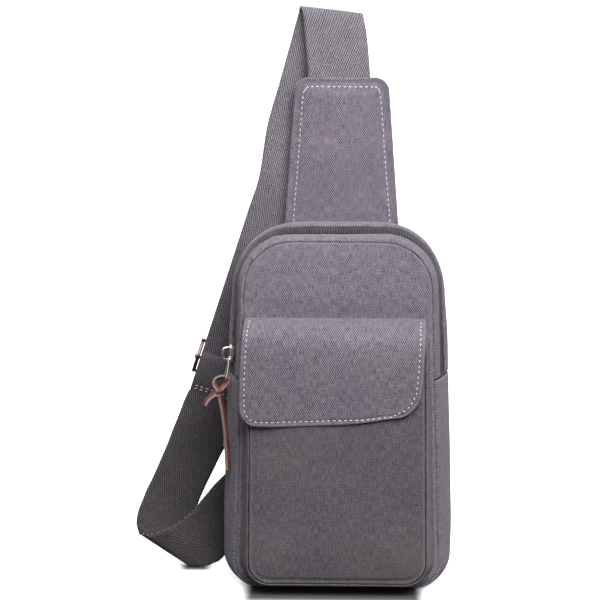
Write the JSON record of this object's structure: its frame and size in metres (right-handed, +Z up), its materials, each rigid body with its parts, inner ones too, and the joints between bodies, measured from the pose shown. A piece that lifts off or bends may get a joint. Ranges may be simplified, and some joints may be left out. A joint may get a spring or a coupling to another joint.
{
  "type": "sling bag",
  "caption": "Canvas sling bag: padded body with an arched zip opening, flapped bellows pocket, padded strap, and webbing with a sliding buckle.",
  "frame": {"origin": "middle of the flat base, on the floor", "axes": "+Z up, front of the bag faces -Y, +X to the right seen from the front"},
  "size_m": [0.2581, 0.1186, 0.4645],
  "materials": {
    "canvas": "washed cotton canvas",
    "canvas_dark": "cotton canvas, shaded",
    "lining": "plain woven lining",
    "webbing": "coarse cotton webbing",
    "foam": "foam padding",
    "zip_tape": "woven zip tape and nylon coil",
    "leather": "soft leather lace",
    "silver_metal": "bright nickel plate",
    "dark_metal": "dark bronze plate"
  },
  "bodies": {
    "bag_body": {"back_panel": "canvas", "rear_pocket_lining": "lining", "back_foam": "foam", "back_lining": "lining", "back_binding": "canvas_dark", "upper_gusset": "canvas", "lower_gusset": "canvas", "gusset_lining": "lining", "front_panel": "canvas", "front_lining": "lining", "front_strip_right": "canvas", "front_strip_left": "canvas", "slip_pocket": "lining", "zip_tape_rear": "zip_tape", "zip_coil_rear": "zip_tape", "zip_tape_front_right": "zip_tape", "zip_coil_front_right": "zip_tape", "zip_tape_front_left": "zip_tape", "zip_coil_front_left": "zip_tape", "rear_zip_tape_back": "zip_tape", "rear_zip_tape_front": "zip_tape", "rear_zip_coil_back": "zip_tape", "rear_zip_coil_front": "zip_tape", "pocket_gusset": "canvas_dark", "pocket_front": "canvas_dark", "pocket_hem": "canvas_dark", "snap_socket": "silver_metal", "pad_front": "canvas", "pad_foam": "foam", "pad_back": "canvas", "webbing_upper": "webbing", "webbing_lower": "webbing", "strap_patch": "canvas_dark"},
    "mouth": {"front_top_panel": "canvas", "front_top_lining": "lining", "front_strip_top": "canvas", "zip_tape_front_top": "zip_tape", "zip_coil_front_top": "zip_tape"},
    "pocket_flap": {"flap_lining": "lining", "flap_outer": "canvas", "snap_stud": "silver_metal"},
    "zip_slider": {"main_slider": "silver_metal"},
    "zip_pull": {"main_pull": "silver_metal"},
    "lace": {"lace_loop": "leather", "lace_short_tail": "leather", "lace_long_tail": "leather", "lace_knot": "leather"},
    "rear_zip_slider": {"rear_slider": "silver_metal"},
    "rear_zip_pull": {"rear_pull": "silver_metal"},
    "buckle": {"triglide": "dark_metal", "webbing_fold": "webbing"}
  },
  "joints": [
    {"name": "mouth_fold", "type": "hinge", "parent": "bag_body", "child": "mouth", "pos_m": [0, -0.036, 0.23], "axis": [1, 0, 0], "range_deg": [0, 85]},
    {"name": "flap_hinge", "type": "hinge", "parent": "bag_body", "child": "pocket_flap", "pos_m": [0, -0.0364, 0.2256], "axis": [1, 0, 0], "range_deg": [-110, 0]},
    {"name": "zip_slide", "type": "slide", "parent": "bag_body", "child": "zip_slider", "axis": [0.0331, 0, 0.9995], "range_m": [0, 0.047]},
    {"name": "pull_swing", "type": "hinge", "parent": "zip_slider", "child": "zip_pull", "pos_m": [-0.08719, -0.02146, 0.1881], "axis": [-0.9593, -0.2824, 0], "range_deg": [-10, 80]},
    {"name": "lace_swing", "type": "hinge", "parent": "zip_pull", "child": "lace", "pos_m": [-0.09046, -0.02243, 0.17206], "axis": [-0.2824, 0.9593, 0], "range_deg": [0, 50]},
    {"name": "rear_zip_slide", "type": "slide", "parent": "bag_body", "child": "rear_zip_slider", "axis": [0.0332, 0, 0.9994], "range_m": [0, 0.115]},
    {"name": "rear_pull_swing", "type": "hinge", "parent": "rear_zip_slider", "child": "rear_zip_pull", "pos_m": [-0.09238, 0.03138, 0.0996], "axis": [-0.9237, 0.3831, 0], "range_deg": [-60, 80]},
    {"name": "strap_adjust", "type": "slide", "parent": "bag_body", "child": "buckle", "axis": [0.309, 0, 0.9511], "range_m": [0, 0.06]}
  ]
}
